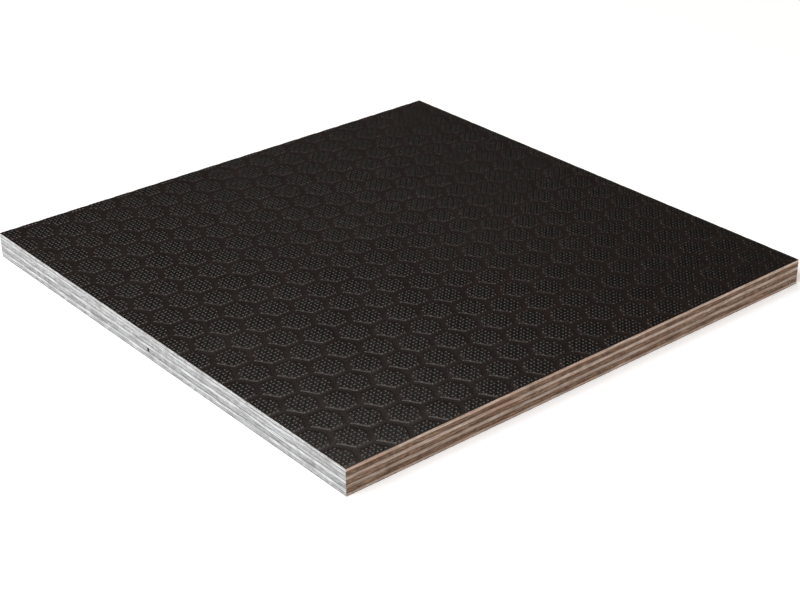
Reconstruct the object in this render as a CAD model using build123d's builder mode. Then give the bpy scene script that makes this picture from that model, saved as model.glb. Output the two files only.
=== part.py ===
"""Film-faced plywood sheet: seven cross-laid veneers between two resin films.

The origin is the centre of the underside. +Z points out of the embossed face,
and +X runs along the grain of the two face veneers.
"""
import os

from build123d import *

# Outline of the sawn sheet
width = 197.0
length = 200.5

# Layers: the veneers are numbered from the embossed face down
top_film = 0.35
bottom_film = 0.20
face_veneer = 0.95
cross_veneer = 1.30
long_veneer = 1.50

# Open joints between strips of one veneer, seen as small holes in a sawn edge
joint_depth = 30.0
long_joint_gap = 1.2
long_joint_inset = 98.0
cross_joint_gap = 0.6
outer_cross_joint_inset = 4.1
inner_cross_joint_inset = 15.0


def joint_along_x(inset, gap):
    """Cut an open joint in from the edge at -X, this far from the edge at +Y."""
    with Locations((-width / 2, length / 2 - inset)):
        Rectangle(joint_depth, gap, align=(Align.MIN, Align.CENTER), mode=Mode.SUBTRACT)


def joint_along_y(inset, gap):
    """Cut an open joint in from the edge at -Y, this far from the edge at +X."""
    with Locations((width / 2 - inset, -length / 2)):
        Rectangle(gap, joint_depth, align=(Align.CENTER, Align.MIN), mode=Mode.SUBTRACT)


def cut_joints(name):
    """Cut the open joints of the named layer into the sketch being built."""
    if name == "veneer_5":
        joint_along_x(long_joint_inset, long_joint_gap)
    if name == "veneer_6":
        joint_along_y(outer_cross_joint_inset, cross_joint_gap)
        joint_along_y(inner_cross_joint_inset, cross_joint_gap)


# The layers from the underside up, each lying flat on the one before
layers = (
    ("film_bottom", bottom_film),
    ("veneer_7", face_veneer),
    ("veneer_6", cross_veneer),
    ("veneer_5", long_veneer),
    ("veneer_4", cross_veneer),
    ("veneer_3", long_veneer),
    ("veneer_2", cross_veneer),
    ("veneer_1", face_veneer),
    ("film_top", top_film),
)

os.makedirs("parts", exist_ok=True)
height = 0.0
for name, thickness in layers:
    with BuildPart() as layer:
        with BuildSketch(Plane.XY.offset(height)):
            Rectangle(width, length)
            cut_joints(name)
        extrude(amount=thickness)
    layer.part.label = name
    export_step(layer.part, f"parts/{name}.step")
    height += thickness
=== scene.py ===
"""Dresses the film-faced plywood sheet: embossed film, sawn veneer edges and a studio stage."""
import math
from collections import namedtuple

import bmesh
import bpy
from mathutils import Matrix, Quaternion, Vector, geometry, noise


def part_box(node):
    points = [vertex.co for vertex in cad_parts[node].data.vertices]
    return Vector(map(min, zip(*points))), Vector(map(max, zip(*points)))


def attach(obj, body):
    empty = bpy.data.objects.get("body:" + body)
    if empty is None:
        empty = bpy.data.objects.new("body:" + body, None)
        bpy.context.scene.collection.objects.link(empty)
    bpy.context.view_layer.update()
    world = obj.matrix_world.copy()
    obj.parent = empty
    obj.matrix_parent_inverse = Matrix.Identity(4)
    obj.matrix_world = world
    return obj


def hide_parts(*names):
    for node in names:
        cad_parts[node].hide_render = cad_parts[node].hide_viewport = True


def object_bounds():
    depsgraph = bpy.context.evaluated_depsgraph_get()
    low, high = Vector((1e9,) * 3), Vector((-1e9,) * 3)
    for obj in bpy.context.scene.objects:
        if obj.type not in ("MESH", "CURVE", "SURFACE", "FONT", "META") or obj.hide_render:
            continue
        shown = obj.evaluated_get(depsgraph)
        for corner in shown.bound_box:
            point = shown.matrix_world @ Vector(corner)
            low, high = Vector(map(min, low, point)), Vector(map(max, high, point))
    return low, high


bl_info = {
    "name": "Film-faced plywood sheet",
    "version": (1, 0, 0),
    "blender": (4, 5, 0),
    "location": "View3D > Sidebar > Plywood",
    "description": "Embosses the film and saws the veneers of a plywood sheet",
    "category": "Object",
}

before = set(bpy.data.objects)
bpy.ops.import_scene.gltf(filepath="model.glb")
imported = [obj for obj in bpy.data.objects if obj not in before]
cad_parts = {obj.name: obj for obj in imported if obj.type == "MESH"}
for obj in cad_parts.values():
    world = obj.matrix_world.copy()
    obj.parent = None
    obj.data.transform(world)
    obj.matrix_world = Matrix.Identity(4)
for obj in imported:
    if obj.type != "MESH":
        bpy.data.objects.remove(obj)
CAD_LOW, CAD_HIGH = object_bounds()
MILLIMETRE = 0.001
BODY = "root"
VENEERS = sorted(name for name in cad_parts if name.startswith("veneer_"))

# Two points closer than this, in metres, are one
SAME_POINT = 1e-8
SAME_CAD_POINT = 1e-7
SAME_RELIEF_POINT = 0.01 * MILLIMETRE
SAME_PLANE = math.radians(1)

# Relief of the upper film
HEXAGON_WIDTH = math.cos(math.pi / 6)  # Centre to side over centre to corner
DOT_SIDES = 5
DOT_CLEARANCE = 1.1  # Least distance from a dot to a pad's crease, in sizes of the dot
CREASE_STEPS = 48  # Places along a pad's side where that distance is looked at
SHORTEST_CREASE = 0.4 * MILLIMETRE
COLUMNS_BEFORE, SPARE_COLUMNS = 2, 4
ROWS_BEFORE, SPARE_ROWS = 1, 3

# Film material
FILM_TONE_WEIGHTS = (0.7, 0.3)  # Shares of mottle and fleck
BETWEEN_DOTS_PAINTED_SHADE = 0.2  # Painted shade: brightness between the dots, over that of the darkest film
GLOSSIEST, DULLEST = 0.22, 0.28  # Range of its roughness
SAWN_RISE = 0.3  # A face whose normal rises less than this was sawn
X_EDGE_PAINTED_LIGHT = 0.12  # Painted light: how much paler the film's sawn edges that face along X are made, as if strongly lit
UPPER_CLEAN_EDGE = 0.55  # Level of the noise below which a film's edge is clean
LOWER_CLEAN_EDGE = 0.38
DUST_BLEND = 0.2
FILM_PEEL_HEIGHT = 0.01 * MILLIMETRE

# Veneer material: shares of streaks, patches, pores and saw marks in its tone
END_GRAIN_WEIGHTS = (0.42, 0.14, 0.30, 0.14)
SIDE_GRAIN_WEIGHTS = (0.58, 0.20, 0.10, 0.12)
RUDDY_TINT = (1.35, 1.02, 0.88)  # A ruddy streak's colour over that of a dark one
RUDDY_SHARE = 0.6
GLUE_FLECK_SHARE = 0.6
LEAST_REACH, MOST_REACH = 0.4, 1.6  # How far glue strays, over its usual reach
SAW_RELIEF_WEIGHTS = (0.5, 0.5)  # Shares of saw marks and pores
END_GRAIN_RELIEF = 0.10 * MILLIMETRE
SIDE_GRAIN_RELIEF = 0.04 * MILLIMETRE

# Veneer edges
EDGE_LEVELS = (0.0, 0.15, 0.5, 0.85, 1.0)  # Rows of points up an edge, in thicknesses
BROAD_WAVE, FINE_WAVE = 1.4, 0.5  # Heights of the two waves of a glue line
FINE_WAVES = 3.1  # Fine waves to the length of a broad one
FINE_WAVE_SEED = 50.0
SAW_MARK_RISE = 0.6  # Under 1, the marks are longer upwards than along the edge
JOINT_MOUTH = 0.1 * MILLIMETRE  # Deeper than this behind the edge is inside a joint
SIDE_GRAIN, END_GRAIN = 0, 1

# Stage: each lamp has a colour, a place and a size, in metres
LAMPS = {
    "window": ((0.84, 0.915, 1.0), (-1.50, -0.15, 1.45), (1.6, 1.3)),
    "overhead": ((1.0, 0.93, 0.86), (0.41, 0.93, 1.67), (1.1, 1.1)),
    "fill": ((1.0, 0.88, 0.78), (0.7, -1.9, 0.8), (1.2, 0.9)),
}
ROOM_COLOUR = (1.0, 0.90, 0.83)
FLOOR_HALF_WIDTH = 6.0
FLOOR_SQUARES = 8
FLOOR_PATCHES = 1.02  # Its lightest patch over its darkest
SENSOR_WIDTH = 36.0  # Millimetres, as Blender takes it
NEAR_CLIP, FAR_CLIP = 0.01, 100.0

# Sockets of a mix node that belong to its colours
MIX_SHARE, MIX_FIRST, MIX_SECOND, MIX_RESULT = 0, 6, 7, 2

# A point on a layer's outline. A corner's normal is the sum of those of its two sides.
Station = namedtuple("Station", "point normal is_corner")


def length(name, description, millimetres):
    """A length that a user can change, given here in millimetres."""
    return bpy.props.FloatProperty(
        name=name, description=description, default=millimetres * MILLIMETRE,
        unit="LENGTH", subtype="DISTANCE", precision=5)


def angle(name, description, degrees):
    """An angle that a user can change, given here in degrees."""
    return bpy.props.FloatProperty(
        name=name, description=description, default=math.radians(degrees),
        unit="ROTATION", subtype="ANGLE")


def colour(name, description, red_green_blue):
    """A linear colour that a user can change."""
    return bpy.props.FloatVectorProperty(
        name=name, description=description, default=red_green_blue,
        subtype="COLOR", size=3, min=0.0, max=1.0)


def power(name, description, watts):
    """A lamp's power, in watts."""
    return bpy.props.FloatProperty(
        name=name, description=description, default=watts, unit="POWER")


class FilmSettings(bpy.types.PropertyGroup):
    """Sizes and colours of the resin film and of its anti-slip relief."""
    dot_pitch: length("Dot pitch", "Distance between the centres of two dots", 1.5)
    dot_reach: length("Dot reach", "Middle of a pad's group of dots to its corners", 5.30)
    dot_offset: length("Dot offset", "Middle dot from the pad's middle, along X", -0.63)
    group_offset: length("Group offset", "Group of dots from the pad's middle, along Y", 0.25)
    dot_length: length("Dot length", "Half the length of a dot, along X and Y by turns", 0.72)
    dot_width: length("Dot width", "Half the width of a dot", 0.44)
    dot_height: length("Dot height", "Height of a dot above its pad", 0.20)
    dot_rise: length("Dot rise", "How far the dots stand above the sheet's nominal face", 0.15)
    pad_radius: length("Pad radius", "Centre of a pad to a corner of its foot", 5.42)
    pad_stretch: bpy.props.FloatProperty(
        name="Pad stretch", description="Depth of a pad along Y over that of a regular hexagon",
        default=1.08)
    pad_slope: length("Pad slope", "Width of the slope round a pad", 0.40)
    corner_cut: bpy.props.FloatProperty(
        name="Corner cut", description="Share of a pad's side that each cut-off corner takes",
        default=0.10)
    pad_height: length("Pad height", "Height of a pad above the channels", 0.056)
    bed: length("Bed", "Thinnest film over the face veneer, in the channels", 0.02)
    column_pitch: bpy.props.FloatProperty(
        name="Column pitch", description="Distance between columns of pads, in dots",
        default=6.5)
    row_pitch: bpy.props.FloatProperty(
        name="Row pitch", description="Distance between rows of pads, in dots",
        default=8.0)
    first_column: length("First column", "Sawn edge at -X to the first column of pads", 1.90)
    first_row: length("First row", "Sawn edge at -Y to the centre of the first pad", 5.75)
    dark: colour("Dark film", "Film where it is darkest", (0.0074, 0.0037, 0.0025))
    light: colour("Light film", "Film where it is lightest", (0.0125, 0.0066, 0.0046))
    sawn: colour("Sawn film", "Edge of the film that the saw laid bare", (0.035, 0.022, 0.016))
    # Also the colour of the painted light on the film's sawn edges that face along X
    dusty_and_lit: colour("Dusty film", "Sawn film with wood dust on it", (0.50, 0.46, 0.43))


class VeneerSettings(bpy.types.PropertyGroup):
    """Sizes and colours of the sawn veneer edges. The colours for the X sides are painted light,
    paler and greyer than those for the Y sides, and the end grain on the Y sides is partly painted
    shade.
    """
    step: length("Step", "Length of one facet along a sawn edge", 0.8)
    wave_height: length("Wave height", "How far a glue line strays from its level", 0.08)
    wave_length: length("Wave length", "Typical distance between two bends of a glue line", 16.0)
    saw_depth: length("Saw depth", "Depth of the marks that the saw left", 0.05)
    end_recess: length("End grain recess", "How far end grain stands back", 0.06)
    cap_inset: length("Cap inset", "Where the waves have died out inside the sheet", 1.5)
    glue_reach: length("Glue reach", "How far the glue darkens the veneers along X", 0.26)
    # Painted light: on the X sides the glue is painted paler and reaches less far than on the Y
    # sides
    lit_glue_reach: length("Faint glue reach", "The same, seen from the X sides", 0.15)
    long_side: colour("Long side grain", "Veneers along X, cut along their grain",
                      (0.66, 0.535, 0.45))
    long_streak: colour("Long side streak", "Darker streak in that wood", (0.35, 0.252, 0.19))
    # Painted light: this end grain shows only on the X sides and is painted pale and grey, as if in
    # strong light
    lit_long_end: colour("Long end grain", "Veneers along X, cut across their grain",
                     (0.59, 0.575, 0.55))
    lit_long_pore: colour("Long end pores", "Darker part of that wood", (0.30, 0.285, 0.27))
    # Painted light: this side grain shows only on the X sides and is painted pale and grey, as if
    # in strong light
    lit_cross_side: colour("Cross side grain", "Veneers along Y, cut along their grain",
                       (0.72, 0.70, 0.68))
    lit_cross_streak: colour("Cross side streak", "Darker streak in that wood", (0.37, 0.356, 0.34))
    # Partly painted shade: this end grain shows only on the Y sides and is painted darker than that
    # on the X sides, as if in raking light
    shaded_cross_end: colour("Cross end grain", "Veneers along Y, cut across their grain",
                      (0.375, 0.234, 0.148))
    shaded_cross_pore: colour("Cross end pores", "Darker part of that wood", (0.096, 0.052, 0.0295))
    glue: colour("Glue", "Resin between the veneers, seen from the Y sides", (0.11, 0.066, 0.043))
    # Painted light: the glue on the X sides is painted paler and greyer, as if washed out by strong
    # light
    lit_glue: colour("Faint glue", "The same, seen from the X sides", (0.19, 0.18, 0.175))
    # Painted shade: wood inside an open joint is darkened to this, as if little light reaches it
    painted_joint_shade: bpy.props.FloatProperty(
        name="Joint shade", description="Lightness of the wood inside an open joint", default=0.1)
    shades: bpy.props.FloatVectorProperty(
        name="Shades", description="Lightness of each veneer, from the embossed face down",
        default=(1.15, 0.93, 0.95, 1.0, 0.81, 0.99, 0.97), size=7, min=0.0, max=2.0)


class StageSettings(bpy.types.PropertyGroup):
    """Camera, lamps and floor."""
    azimuth: angle("Azimuth", "Direction of the view round the sheet", -39.3585)
    elevation: angle("Elevation", "Height of the view above the floor", 27.8753)
    roll: angle("Roll", "Turn of the camera about its own line of sight", -0.8130)
    distance: length("Distance", "Camera to the point it looks at", 554.29)
    aim_x: length("Aim X", "Point that the camera looks at, from the sheet's middle", -23.31)
    aim_y: length("Aim Y", "Point that the camera looks at, from the sheet's middle", -33.40)
    focal_length: bpy.props.FloatProperty(
        name="Focal length", description="Lens in millimetres on a 36 mm frame",
        default=75.919)
    window: power("Window", "Cool light from the left", 49.5)
    overhead: power("Overhead", "Soft light from above", 10.5)
    fill: power("Fill", "Warm light from the front right", 4.7)
    world: bpy.props.FloatProperty(
        name="Room light", description="Brightness of the room all round", default=0.05)
    floor: colour("Floor", "Pale floor", (0.97, 0.93, 0.89))
    glow: bpy.props.FloatProperty(
        name="Glow", description="Light that comes up through the floor", default=0.32)


def node(tree, kind, values=None, **settings):
    """Adds a node: values go to its sockets, as links or numbers, and settings to itself."""
    made = tree.nodes.new(kind)
    for name, value in settings.items():
        setattr(made, name, value)
    for socket, value in (values or {}).items():
        if isinstance(value, bpy.types.NodeSocket):
            tree.links.new(value, made.inputs[socket])
        else:
            made.inputs[socket].default_value = value
    return made


def rgba(value, brightness=1.0):
    """A colour with full opacity, made brighter or darker."""
    return (*(part * brightness for part in value), 1.0)


def clamp(value):
    """The nearest number from 0 to 1."""
    return min(1.0, max(0.0, value))


def math_node(tree, operation, first, second=0.0):
    """The result of one operation on one or two numbers."""
    return node(tree, "ShaderNodeMath", {0: first, 1: second}, operation=operation).outputs[0]


def weighted_sum(tree, textures, weights):
    """The sum of several textures, each times its weight."""
    total = 0.0
    for texture, weight in zip(textures, weights):
        total = math_node(tree, "ADD", total, math_node(tree, "MULTIPLY", texture, weight))
    return total


def parts_of(tree, vector):
    """The X, Y and Z outputs of a vector."""
    return node(tree, "ShaderNodeSeparateXYZ", {0: vector}).outputs


def attribute(tree, name):
    """The value of an attribute of the mesh."""
    return node(tree, "ShaderNodeAttribute", attribute_name=name).outputs["Fac"]


def noise_node(tree, vector, scale, detail=3.0, roughness=0.55):
    """The grey output of a noise texture."""
    values = {"Vector": vector, "Scale": scale, "Detail": detail, "Roughness": roughness}
    return node(tree, "ShaderNodeTexNoise", values).outputs["Fac"]


def range_node(tree, value, low, high, to_low=0.0, to_high=1.0):
    """Maps a number from one range to another, clamped."""
    values = {"Value": value, "From Min": low, "From Max": high,
              "To Min": to_low, "To Max": to_high}
    return node(tree, "ShaderNodeMapRange", values).outputs["Result"]


def mix_colours(tree, share, first, second):
    """A colour between two others."""
    values = {MIX_SHARE: share, MIX_FIRST: first, MIX_SECOND: second}
    return node(tree, "ShaderNodeMix", values, data_type="RGBA").outputs[MIX_RESULT]


def new_material(name):
    """An empty material, its node tree, its shader and its object coordinates."""
    material = bpy.data.materials.new(name)
    material.use_nodes = True
    tree = material.node_tree
    tree.nodes.clear()
    shader = node(tree, "ShaderNodeBsdfPrincipled")
    output = node(tree, "ShaderNodeOutputMaterial")
    tree.links.new(shader.outputs["BSDF"], output.inputs["Surface"])
    place = node(tree, "ShaderNodeTexCoord").outputs["Object"]
    return material, tree, shader, place


def add_bump(tree, shader, height, distance, strength=1.0):
    """Gives the shader a bump of that height in metres."""
    values = {"Height": height, "Distance": distance, "Strength": strength}
    bump = node(tree, "ShaderNodeBump", values)
    tree.links.new(bump.outputs["Normal"], shader.inputs["Normal"])


def film_material(name, settings, clean_edge):
    """Dark brown phenolic film: mottled and satin, with orange peel, painted shade between the
    dots, and dust on its sawn edge, with painted light making the edges that face along X paler.
    """
    material, tree, shader, place = new_material(name)
    mottle = noise_node(tree, place, scale=55.0, detail=4.0)
    fleck = noise_node(tree, place, scale=900.0, detail=2.0)
    tone = weighted_sum(tree, (mottle, fleck), FILM_TONE_WEIGHTS)
    share = range_node(tree, tone, low=0.35, high=0.65)
    tint = mix_colours(tree, share, rgba(settings.dark), rgba(settings.light))
    # Painted shade: the film between the dots is darkened, as if shaded by them
    tint = mix_colours(tree, attribute(tree, "hollow"), tint, rgba(settings.dark, BETWEEN_DOTS_PAINTED_SHADE))

    facing = parts_of(tree, node(tree, "ShaderNodeNewGeometry").outputs["True Normal"])
    sawn = math_node(tree, "LESS_THAN", math_node(tree, "ABSOLUTE", facing["Z"]), SAWN_RISE)
    # Painted light: the sawn edges that face along X get more of the dusty colour, as if strongly
    # lit
    along_x = math_node(tree, "ABSOLUTE", facing["X"])
    grit = noise_node(tree, place, scale=1500.0, detail=3.0, roughness=0.7)
    grit = math_node(tree, "ADD", grit, math_node(tree, "MULTIPLY", along_x, X_EDGE_PAINTED_LIGHT))
    dust_and_lit_edge = range_node(tree, grit, low=clean_edge, high=clean_edge + DUST_BLEND)
    edge = mix_colours(tree, dust_and_lit_edge, rgba(settings.sawn), rgba(settings.dusty_and_lit))
    tree.links.new(mix_colours(tree, sawn, tint, edge), shader.inputs["Base Color"])

    gloss = noise_node(tree, place, scale=140.0, detail=3.0)
    roughness = range_node(tree, gloss, low=0.3, high=0.7, to_low=GLOSSIEST, to_high=DULLEST)
    tree.links.new(roughness, shader.inputs["Roughness"])
    peel = noise_node(tree, place, scale=2600.0, detail=2.0)
    add_bump(tree, shader, peel, FILM_PEEL_HEIGHT, strength=0.6)
    return material


def birch_material(name, pale, dark, glue, reach, end_grain, flush):
    """Sawn birch: streaks along the veneer, saw marks across it, darker towards the glue, with
    painted shade inside open joints. The colours given for the X sides are painted light, paler and
    greyer than those for the Y sides.
    """
    material, tree, shader, place = new_material(name)
    place = parts_of(tree, place)
    run = math_node(tree, "ADD", place["X"], place["Y"])

    def stretched(along, up, detail=2.0, roughness=0.6):
        """Noise with that many features to the metre along the edge and up it."""
        drawn_out = node(tree, "ShaderNodeCombineXYZ", {
            "X": math_node(tree, "MULTIPLY", run, along),
            "Y": math_node(tree, "MULTIPLY", place["Z"], up)})
        return noise_node(tree, drawn_out.outputs[0], 1.0, detail, roughness)

    streaks = stretched(along=130.0, up=2200.0, detail=3.0, roughness=0.65)
    patches = stretched(along=45.0, up=700.0)
    pores = stretched(along=450.0, up=2000.0, roughness=0.7)
    marks = stretched(along=500.0, up=200.0)
    weights = END_GRAIN_WEIGHTS if end_grain else SIDE_GRAIN_WEIGHTS
    tone = weighted_sum(tree, (streaks, patches, pores, marks), weights)
    share = range_node(tree, tone, low=0.44, high=0.56)
    wood = mix_colours(tree, share, rgba(pale), rgba(dark))

    ruddy = tuple(value * tint for value, tint in zip(dark, RUDDY_TINT))
    ruddiness = range_node(tree, stretched(along=60.0, up=900.0),
                           low=0.45, high=0.65, to_high=flush)
    wood = mix_colours(tree, ruddiness, wood, rgba(ruddy))
    flecks = range_node(tree, stretched(along=260.0, up=1600.0, detail=1.0),
                        low=0.62, high=0.72, to_high=GLUE_FLECK_SHARE if end_grain else 0.0)
    wood = mix_colours(tree, flecks, wood, rgba(glue))

    strays = range_node(tree, stretched(along=130.0, up=900.0), low=0.3, high=0.7,
                        to_low=reach * LEAST_REACH, to_high=reach * MOST_REACH)
    from_glue = math_node(tree, "DIVIDE", attribute(tree, "to_glue"), strays)
    wooden = range_node(tree, from_glue, low=0.1, high=1.3, to_low=0.1)
    tint = mix_colours(tree, wooden, rgba(glue), wood)
    # The shade attribute holds each veneer's own lightness and the painted shade inside open joints
    shaded = node(tree, "ShaderNodeVectorMath", {
        0: tint, "Scale": attribute(tree, "shade")}, operation="SCALE")
    tree.links.new(shaded.outputs[0], shader.inputs["Base Color"])

    shader.inputs["Roughness"].default_value = 0.75
    shader.inputs["Specular IOR Level"].default_value = 0.3
    relief = weighted_sum(tree, (marks, pores), SAW_RELIEF_WEIGHTS)
    add_bump(tree, shader, relief, END_GRAIN_RELIEF if end_grain else SIDE_GRAIN_RELIEF)
    return material


def floor_material(settings):
    """Matt pale floor with a trace of unevenness."""
    material, tree, shader, place = new_material("pale_floor")
    tone = range_node(tree, noise_node(tree, place, scale=3.0), low=0.3, high=0.7)
    paler = tuple(min(1.0, value * FLOOR_PATCHES) for value in settings.floor)
    tint = mix_colours(tree, tone, rgba(settings.floor), rgba(paler))
    tree.links.new(tint, shader.inputs["Base Color"])
    tree.links.new(tint, shader.inputs["Emission Color"])
    shader.inputs["Emission Strength"].default_value = settings.glow
    shader.inputs["Roughness"].default_value = 0.9
    shader.inputs["Specular IOR Level"].default_value = 0.1
    return material


def finish_piece(piece, node_name):
    """Lets the piece stand for its CAD node."""
    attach(piece, BODY)
    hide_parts(node_name)


def new_object(name, data):
    """Links a new object that holds a mesh, a lamp or a camera."""
    made = bpy.data.objects.new(name, data)
    bpy.context.scene.collection.objects.link(made)
    return made


def polar(radius, turn):
    """A point on a circle, as a flat vector."""
    return Vector((radius * math.cos(turn), radius * math.sin(turn)))


def pad_pitches(settings):
    """Distances between columns and between rows of pads."""
    return settings.column_pitch * settings.dot_pitch, settings.row_pitch * settings.dot_pitch


def hexagon_distance(x, y, stretch):
    """Distance from a pad's centre to its side through that point, before it is stretched."""
    x, y = abs(x), abs(y) / stretch
    return max(y, x * HEXAGON_WIDTH + y * math.sin(math.pi / 6))


def dot_centres(settings):
    """The dots of one pad, on a square grid."""
    reach = settings.dot_reach * HEXAGON_WIDTH
    most = math.ceil(settings.dot_reach * settings.pad_stretch / settings.dot_pitch)
    grid = [step * settings.dot_pitch for step in range(-most, most + 1)]
    centres = [Vector((x + settings.dot_offset, y)) for x in grid for y in grid]
    return [Vector((x, y)) for x, y in centres
            if hexagon_distance(x, y - settings.group_offset, settings.pad_stretch) <= reach]


def dot_foot(settings, centre):
    """Half sizes of a dot, and the corners of its foot. Dots lie along X and Y by turns."""
    along_x = round((centre.x - settings.dot_offset + centre.y) / settings.dot_pitch) % 2
    size = Vector((settings.dot_width, settings.dot_length))
    if along_x:
        size = size.yx
    start = math.pi / 2 * (1 - along_x)
    turns = [turn * math.tau / DOT_SIDES + start for turn in range(DOT_SIDES)]
    return size, [centre + polar(1.0, turn) * size for turn in turns]


def tile_border(column, row):
    """Corners of the film round one pad, where its staggered neighbours meet it."""
    half_diagonal = (column ** 2 + (row / 2) ** 2) / 2
    side_corner = half_diagonal / column
    row_corner = (half_diagonal - row ** 2 / 4) / column
    return [Vector(corner) for corner in (
        (side_corner, 0), (row_corner, row / 2), (-row_corner, row / 2),
        (-side_corner, 0), (-row_corner, -row / 2), (row_corner, -row / 2))]


def pad_ring(settings, inward):
    """Corners of a pad that far in from its foot, with each of its six corners cut off."""
    ring = [polar(settings.pad_radius - inward, turn * math.pi / 3) for turn in range(6)]
    ring = [Vector((corner.x, corner.y * settings.pad_stretch)) for corner in ring]
    return [corner.lerp(neighbour, settings.corner_cut)
            for i, corner in enumerate(ring)
            for neighbour in (ring[i - 1], ring[(i + 1) % 6])]


def clear_runs(start, end, dots):
    """Stretches of a straight line that stay clear of the dots."""
    runs, run = [], []
    for step in range(CREASE_STEPS + 1):
        point = start.lerp(end, step / CREASE_STEPS)
        gaps = [Vector(((point - centre).x / size.x, (point - centre).y / size.y))
                for centre, size in dots]
        clear = all(gap.length > DOT_CLEARANCE for gap in gaps)
        if clear:
            run.append(point)
        if run and (step == CREASE_STEPS or not clear):
            if (run[-1] - run[0]).length > SHORTEST_CREASE:
                runs.append((run[0], run[-1]))
            run = []
    return runs


def channel_level(settings):
    """Height of the film in the channels between the pads."""
    top = CAD_HIGH.z + settings.dot_rise
    return top - settings.dot_height - settings.pad_height


def relief_tile(settings):
    """One pad with its dots and its share of the channels, as a mesh that tiles."""
    points, edges, dots = [], [], []
    tops, rims = set(), set()

    def add_ring(ring):
        """Adds a closed ring of corners and the edges between them."""
        first = len(points)
        points.extend(ring)
        edges.extend((first + i, first + (i + 1) % len(ring)) for i in range(len(ring)))

    add_ring(tile_border(*pad_pitches(settings)))
    border_edges = len(edges)
    for centre in dot_centres(settings):
        size, foot = dot_foot(settings, centre)
        dots.append((centre, size))
        rims.update(range(len(points), len(points) + DOT_SIDES))
        add_ring(foot)
        tops.add(len(points))
        points.append(centre)
    for inward in (0.0, settings.pad_slope / HEXAGON_WIDTH):
        ring = pad_ring(settings, inward)
        for i, corner in enumerate(ring):
            for start, end in clear_runs(ring[i - 1], corner, dots):
                edges.append((len(points), len(points) + 1))
                points += [start, end]
    inside_border = 1
    flat, joins, faces, came_from, joins_from, _ = geometry.delaunay_2d_cdt(
        points, edges, [], inside_border, SAME_POINT)

    foot_reach = settings.pad_radius * HEXAGON_WIDTH
    corner_reach = settings.pad_radius * (1.0 - settings.corner_cut / 2)
    corners, painted_shades_between_dots = [], []
    for (x, y), origins in zip(flat, came_from):
        to_side = foot_reach - hexagon_distance(x, y, settings.pad_stretch)
        to_corner = corner_reach - hexagon_distance(y / settings.pad_stretch, x, 1.0)
        climb = clamp(min(to_side, to_corner) / settings.pad_slope)
        dot = settings.dot_height if tops.intersection(origins) else 0.0
        corners.append((x, y, channel_level(settings) + settings.pad_height * climb + dot))
        # Painted shade between the dots: darker at the rims of dots further inside the pad, none
        # elsewhere
        depth = clamp((to_side - settings.dot_width) / (settings.dot_pitch / 2))
        painted_shades_between_dots.append(0.0 if rims.isdisjoint(origins) else depth)
    mesh = bpy.data.meshes.new("relief_tile")
    mesh.from_pydata(corners, [], faces)
    mesh.attributes.new("hollow", "FLOAT", "POINT").data.foreach_set("value", painted_shades_between_dots)
    creases = {tuple(sorted(join)) for join, origins in zip(joins, joins_from)
               if any(origin >= border_edges for origin in origins)}
    for polygon in mesh.polygons:
        polygon.use_smooth = True
    for edge in mesh.edges:
        edge.use_edge_sharp = tuple(sorted(edge.vertices)) in creases
    return mesh


def relief_tree():
    """Geometry Nodes that repeat the tile on staggered columns and weld the tiles."""
    tree = bpy.data.node_groups.new("staggered_relief", "GeometryNodeTree")
    sockets = (
        ("Tile", "INPUT", "NodeSocketGeometry"), ("Column Pitch", "INPUT", "NodeSocketFloat"),
        ("Row Pitch", "INPUT", "NodeSocketFloat"), ("Columns", "INPUT", "NodeSocketInt"),
        ("Rows", "INPUT", "NodeSocketInt"), ("First Pad", "INPUT", "NodeSocketVector"),
        ("Weld Distance", "INPUT", "NodeSocketFloat"), ("Film", "INPUT", "NodeSocketMaterial"),
        ("Relief", "OUTPUT", "NodeSocketGeometry"))
    for name, direction, kind in sockets:
        tree.interface.new_socket(name, in_out=direction, socket_type=kind)
    given = node(tree, "NodeGroupInput").outputs

    def span(pitch, count):
        """Length of a row of that many points."""
        return math_node(tree, "MULTIPLY", pitch, math_node(tree, "SUBTRACT", count, 1.0))

    width = span(given["Column Pitch"], given["Columns"])
    depth = span(given["Row Pitch"], given["Rows"])
    grid = node(tree, "GeometryNodeMeshGrid", {
        "Size X": width, "Size Y": depth,
        "Vertices X": given["Columns"], "Vertices Y": given["Rows"]})
    here = parts_of(tree, node(tree, "GeometryNodeInputPosition").outputs[0])
    half_width = math_node(tree, "MULTIPLY", width, 0.5)
    half_depth = math_node(tree, "MULTIPLY", depth, 0.5)
    from_first = math_node(tree, "ADD", here["X"], half_width)
    column = math_node(tree, "ROUND", math_node(tree, "DIVIDE", from_first, given["Column Pitch"]))
    odd = math_node(tree, "MODULO", column, 2.0)
    half_row_down = math_node(tree, "MULTIPLY", given["Row Pitch"], -0.5)
    stagger = math_node(tree, "MULTIPLY", odd, half_row_down)
    shift = node(tree, "ShaderNodeCombineXYZ", {
        "X": half_width, "Y": math_node(tree, "ADD", stagger, half_depth)})
    offset = node(tree, "ShaderNodeVectorMath", {0: shift.outputs[0], 1: given["First Pad"]},
                  operation="ADD")
    placed = node(tree, "GeometryNodeSetPosition", {
        "Geometry": grid.outputs["Mesh"], "Offset": offset.outputs[0]})
    pads = node(tree, "GeometryNodeInstanceOnPoints", {
        "Points": placed.outputs[0], "Instance": given["Tile"]})
    real = node(tree, "GeometryNodeRealizeInstances", {"Geometry": pads.outputs[0]})
    welded = node(tree, "GeometryNodeMergeByDistance", {
        "Geometry": real.outputs[0], "Distance": given["Weld Distance"]})
    coated = node(tree, "GeometryNodeSetMaterial", {
        "Geometry": welded.outputs[0], "Material": given["Film"]})
    node(tree, "NodeGroupOutput", {"Relief": coated.outputs[0]})
    return tree


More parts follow.
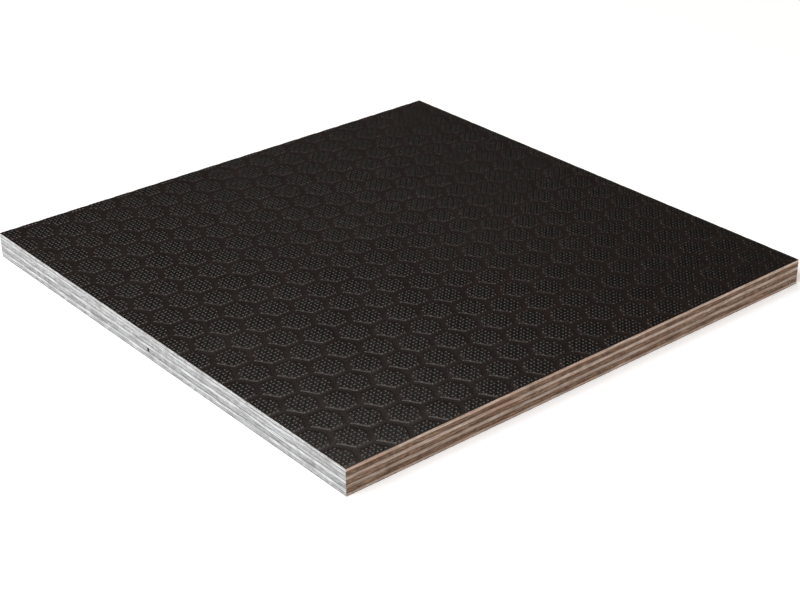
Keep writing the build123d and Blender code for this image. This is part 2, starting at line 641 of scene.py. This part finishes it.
def set_inputs(modifier, tree, values):
    """Sets a modifier's inputs by the identifiers of their sockets."""
    for item in tree.interface.items_tree:
        if item.item_type == "SOCKET" and item.in_out == "INPUT" and item.name in values:
            modifier[item.identifier] = values[item.name]


def baked_mesh(made):
    """The evaluated mesh of an object, as plain data."""
    made.data.update()
    evaluated = made.evaluated_get(bpy.context.evaluated_depsgraph_get())
    return bpy.data.meshes.new_from_object(evaluated)


def saw_and_close(mesh, low, high):
    """Saws the relief along the sheet's edges and closes it down to its underside."""
    work = bmesh.new()
    work.from_mesh(mesh)
    cuts = ((low, (-1, 0, 0)), (low, (0, -1, 0)), (high, (1, 0, 0)), (high, (0, 1, 0)))
    for point, normal in cuts:
        everything = work.verts[:] + work.edges[:] + work.faces[:]
        bmesh.ops.bisect_plane(work, geom=everything, dist=SAME_POINT, plane_co=point,
                               plane_no=normal, clear_outer=True)
    rim = [edge for edge in work.edges if edge.is_boundary]
    for edge in rim:
        edge.smooth = False
    dropped = bmesh.ops.extrude_edge_only(work, edges=rim)["geom"]
    for vert in (part for part in dropped if isinstance(part, bmesh.types.BMVert)):
        vert.co.z = low.z
    lower_rim = [edge for edge in work.edges if edge.is_boundary]
    bmesh.ops.contextual_create(work, geom=lower_rim)
    for edge in lower_rim:
        edge.smooth = False
    bmesh.ops.recalc_face_normals(work, faces=work.faces[:])
    work.to_mesh(mesh)
    work.free()


def outline_of(node_name):
    """Corners of a CAD layer's outline, anticlockwise from above."""
    work = bmesh.new()
    work.from_mesh(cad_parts[node_name].data)
    bmesh.ops.remove_doubles(work, verts=work.verts[:], dist=SAME_CAD_POINT)
    bmesh.ops.dissolve_limit(work, angle_limit=SAME_PLANE,
                             verts=work.verts[:], edges=work.edges[:])
    upper_faces = [face for face in work.faces if round(face.normal.z) == 1]
    largest = max(upper_faces, key=lambda face: face.calc_area())
    corners = [vert.co.xy.copy() for vert in largest.verts]
    work.free()
    return corners


def stepped_outline(corners, step):
    """Stations along the outline, about that far apart."""
    count = len(corners)
    normals = []
    for i in range(count):
        run = (corners[(i + 1) % count] - corners[i]).normalized()
        normals.append(Vector((run.y, -run.x)))
    stations = []
    for i in range(count):
        start, end = corners[i], corners[(i + 1) % count]
        pieces = max(1, round((end - start).length / step))
        stations.append(Station(start, normals[i - 1] + normals[i], True))
        for k in range(1, pieces):
            stations.append(Station(start.lerp(end, k / pieces), normals[i], False))
    return stations


def ripple(x, y, wave_length, seed):
    """Broad and fine waves over the sheet, from about -1 to 1."""
    x, y = x / wave_length, y / wave_length
    broad = noise.noise(Vector((x, y, seed)))
    fine = noise.noise(Vector((x * FINE_WAVES, y * FINE_WAVES, seed + FINE_WAVE_SEED)))
    return BROAD_WAVE * broad + FINE_WAVE * fine


def sawn_veneer(name, settings, film):
    """A veneer with wavy glue lines, saw marks and the open joints of its CAD solid."""
    low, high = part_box(name)
    number = VENEERS.index(name)
    is_upper_face = number == 0
    is_lower_face = number == len(VENEERS) - 1
    if is_upper_face:
        high.z = channel_level(film) - film.bed
    grain_along_x = number % 2 == 0
    thickness = high.z - low.z
    stations = stepped_outline(outline_of(name), settings.step)
    work = bmesh.new()
    glue_layer = work.verts.layers.float.new("to_glue")
    shade_layer = work.verts.layers.float.new("shade")

    def wave(x, y, share):
        """How far the glue lines above and below lift the edge at that share of its height."""
        upper = 0.0 if is_upper_face else ripple(x, y, settings.wave_length, number)
        lower = 0.0 if is_lower_face else ripple(x, y, settings.wave_length, number + 1)
        return settings.wave_height * (upper * share + lower * (1 - share))

    def cut_back(station, rise):
        """How far the saw took the edge back, with end grain further back than side grain."""
        x, y = station.point
        spot = Vector((x + y, (low.z + rise) * SAW_MARK_RISE, number)) / MILLIMETRE
        facing = station.normal.x if grain_along_x else station.normal.y
        is_end_grain = abs(facing) > 0.5 and not station.is_corner
        marks = settings.saw_depth * (0.5 + 0.5 * noise.noise(spot))
        return marks + settings.end_recess * is_end_grain

    def add_ring(share, inset=None):
        """Adds a row of points round the veneer: on its sawn edge, or flat and further in."""
        ring = []
        for station in stations:
            x, y = station.point
            rise = share * thickness
            back = inset
            if inset is None:
                rise += wave(x, y, share)
                back = cut_back(station, rise)
            flat = station.point - station.normal * back
            vert = work.verts.new((*flat, low.z + rise))
            above = 1.0 if is_upper_face else 1.0 - share
            below = 1.0 if is_lower_face else share
            vert[glue_layer] = min(above, below) * thickness
            in_joint = max(abs(x) - high.x, abs(y) - high.y) < -JOINT_MOUTH
            vert[shade_layer] = settings.shades[number]
            if in_joint:
                # Painted shade: wood inside an open joint is darkened, as if little light reaches
                # it
                vert[shade_layer] *= settings.painted_joint_shade
            ring.append(vert)
        return ring

    rings = [add_ring(0.0, settings.cap_inset)]
    rings += [add_ring(share) for share in EDGE_LEVELS]
    rings += [add_ring(1.0, settings.cap_inset)]
    count = len(stations)
    for lower_ring, upper_ring in zip(rings, rings[1:]):
        for i in range(count):
            k = (i + 1) % count
            face = work.faces.new((lower_ring[i], lower_ring[k], upper_ring[k], upper_ring[i]))
            run = (stations[k].point - stations[i].point).normalized()
            faces_along_x = abs(run.y) > 0.5
            face.material_index = END_GRAIN if faces_along_x == grain_along_x else SIDE_GRAIN
    work.faces.new(list(reversed(rings[0])))
    work.faces.new(rings[-1])
    bmesh.ops.recalc_face_normals(work, faces=work.faces[:])
    mesh = bpy.data.meshes.new(name + "_sawn")
    work.to_mesh(mesh)
    work.free()
    return new_object(name + "_sawn", mesh)


class PLYWOOD_OT_emboss_film(bpy.types.Operator):
    """Make the upper film with its hexagon pads and dots"""
    bl_idname = "plywood.emboss_film"
    bl_label = "Emboss the upper film"

    def execute(self, context):
        """Tiles the relief with Geometry Nodes, then saws it to the sheet's outline."""
        settings = context.scene.plywood_film
        low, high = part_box("film_top")
        column, row = pad_pitches(settings)
        film = new_object("film_top_embossed", relief_tile(settings))
        tree = relief_tree()
        modifier = film.modifiers.new("staggered_relief", "NODES")
        modifier.node_group = tree
        first = Vector((low.x + settings.first_column - COLUMNS_BEFORE * column,
                        low.y + settings.first_row - ROWS_BEFORE * row, 0.0))
        set_inputs(modifier, tree, {
            "Column Pitch": column, "Row Pitch": row,
            "Columns": math.ceil((high.x - low.x) / column) + SPARE_COLUMNS,
            "Rows": math.ceil((high.y - low.y) / row) + SPARE_ROWS,
            "First Pad": first, "Weld Distance": SAME_RELIEF_POINT,
            "Film": film_material("embossed_phenolic_film", settings, UPPER_CLEAN_EDGE)})
        mesh = baked_mesh(film)
        film.modifiers.remove(modifier)
        film.data = mesh
        low.z = channel_level(settings) - settings.bed
        saw_and_close(mesh, low, high)
        finish_piece(film, "film_top")
        return {"FINISHED"}


class PLYWOOD_OT_coat_underside(bpy.types.Operator):
    """Give the smooth lower film its finish"""
    bl_idname = "plywood.coat_underside"
    bl_label = "Coat the underside"

    def execute(self, context):
        """Puts the film's material on the CAD layer, which keeps its shape."""
        settings = context.scene.plywood_film
        coat = film_material("smooth_phenolic_film", settings, LOWER_CLEAN_EDGE)
        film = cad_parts["film_bottom"]
        film.data.materials.clear()
        film.data.materials.append(coat)
        return {"FINISHED"}


class PLYWOOD_OT_saw_veneers(bpy.types.Operator):
    """Make the seven veneers with their sawn edges"""
    bl_idname = "plywood.saw_veneers"
    bl_label = "Saw the veneers"

    def execute(self, context):
        """Builds one piece for each veneer and gives it side grain and end grain; the X sides get
        pale, grey painted-light copies of the wood and glue.
        """
        settings = context.scene.plywood_veneer
        reach, lit_reach = settings.glue_reach, settings.lit_glue_reach
        # The X sides get painted light: pale, grey copies of the birch and its glue; the end grain
        # on the Y sides is partly painted shade
        long_wood = (
            birch_material("birch_long_side_grain", settings.long_side, settings.long_streak,
                           settings.glue, reach, end_grain=False, flush=RUDDY_SHARE),
            birch_material("birch_long_end_grain", settings.lit_long_end, settings.lit_long_pore,
                           settings.lit_glue, lit_reach, end_grain=True, flush=0.0))
        cross_wood = (
            birch_material("birch_cross_side_grain", settings.lit_cross_side, settings.lit_cross_streak,
                           settings.lit_glue, lit_reach, end_grain=False, flush=0.0),
            birch_material("birch_cross_end_grain", settings.shaded_cross_end, settings.shaded_cross_pore,
                           settings.glue, reach / 2, end_grain=True, flush=RUDDY_SHARE))
        for number, name in enumerate(VENEERS):
            piece = sawn_veneer(name, settings, context.scene.plywood_film)
            for wood in cross_wood if number % 2 else long_wood:
                piece.data.materials.append(wood)
            finish_piece(piece, name)
        return {"FINISHED"}


def area_lamp(name, watts, tint, place, size):
    """A soft rectangular lamp that faces the sheet."""
    data = bpy.data.lights.new(name, "AREA")
    data.shape = "RECTANGLE"
    data.size, data.size_y = size
    data.energy = watts
    data.color = tint
    lamp = new_object(name, data)
    lamp.location = place
    lamp.rotation_mode = "QUATERNION"
    lamp.rotation_quaternion = (-Vector(place)).to_track_quat("-Z", "Y")


def place_camera(settings):
    """Stands the camera where the photograph was taken from."""
    turn, rise = settings.azimuth, settings.elevation
    look = Vector((-math.sin(turn) * math.cos(rise), math.cos(turn) * math.cos(rise),
                   -math.sin(rise)))
    data = bpy.data.cameras.new("photo_camera")
    data.sensor_width = SENSOR_WIDTH
    data.lens = settings.focal_length
    data.clip_start, data.clip_end = NEAR_CLIP, FAR_CLIP
    camera = new_object("photo_camera", data)
    aim = Vector((settings.aim_x, settings.aim_y, CAD_HIGH.z))
    camera.location = aim - look * settings.distance
    camera.rotation_mode = "QUATERNION"
    roll = Quaternion((0, 0, 1), settings.roll)
    camera.rotation_quaternion = look.to_track_quat("-Z", "Y") @ roll
    bpy.context.scene.camera = camera


class PLYWOOD_OT_set_stage(bpy.types.Operator):
    """Set up the floor, the lamps, the room light and the camera"""
    bl_idname = "plywood.set_stage"
    bl_label = "Set the stage"

    def execute(self, context):
        """Builds everything that isn't part of the sheet."""
        settings = context.scene.plywood_stage
        work = bmesh.new()
        bmesh.ops.create_grid(work, x_segments=FLOOR_SQUARES, y_segments=FLOOR_SQUARES,
                              size=FLOOR_HALF_WIDTH)
        mesh = bpy.data.meshes.new("floor")
        work.to_mesh(mesh)
        work.free()
        mesh.materials.append(floor_material(settings))
        new_object("floor", mesh)
        for name, (tint, place, size) in LAMPS.items():
            area_lamp(name, getattr(settings, name), tint, place, size)
        world = bpy.data.worlds.new("room")
        world.use_nodes = True
        background = world.node_tree.nodes["Background"]
        background.inputs["Color"].default_value = rgba(ROOM_COLOUR)
        background.inputs["Strength"].default_value = settings.world
        context.scene.world = world
        context.scene.view_settings.view_transform = "Standard"
        place_camera(settings)
        return {"FINISHED"}


class PLYWOOD_PT_sheet(bpy.types.Panel):
    """Lists the steps that dress the sheet"""
    bl_label = "Plywood sheet"
    bl_idname = "PLYWOOD_PT_sheet"
    bl_space_type = "VIEW_3D"
    bl_region_type = "UI"
    bl_category = "Plywood"

    def draw(self, context):
        """Shows each step's button above its settings."""
        groups = ((context.scene.plywood_film, (PLYWOOD_OT_emboss_film, PLYWOOD_OT_coat_underside)),
                  (context.scene.plywood_veneer, (PLYWOOD_OT_saw_veneers,)),
                  (context.scene.plywood_stage, (PLYWOOD_OT_set_stage,)))
        for settings, steps in groups:
            box = self.layout.box()
            for step in steps:
                box.operator(step.bl_idname)
            for name in settings.__annotations__:
                box.prop(settings, name)


CLASSES = (FilmSettings, VeneerSettings, StageSettings, PLYWOOD_OT_emboss_film,
           PLYWOOD_OT_coat_underside, PLYWOOD_OT_saw_veneers, PLYWOOD_OT_set_stage,
           PLYWOOD_PT_sheet)
SETTINGS = {"plywood_film": FilmSettings, "plywood_veneer": VeneerSettings,
            "plywood_stage": StageSettings}


def register():
    """Registers the classes and hangs the settings on the scene."""
    for cls in CLASSES:
        bpy.utils.register_class(cls)
    for name, group in SETTINGS.items():
        setattr(bpy.types.Scene, name, bpy.props.PointerProperty(type=group))


def unregister():
    """Takes the settings and the classes away again."""
    for name in SETTINGS:
        delattr(bpy.types.Scene, name)
    for cls in reversed(CLASSES):
        bpy.utils.unregister_class(cls)


def main():
    """Dresses the sheet step by step."""
    register()
    bpy.ops.plywood.emboss_film()
    bpy.ops.plywood.coat_underside()
    bpy.ops.plywood.saw_veneers()
    bpy.ops.plywood.set_stage()


if __name__ == "__main__":
    main()
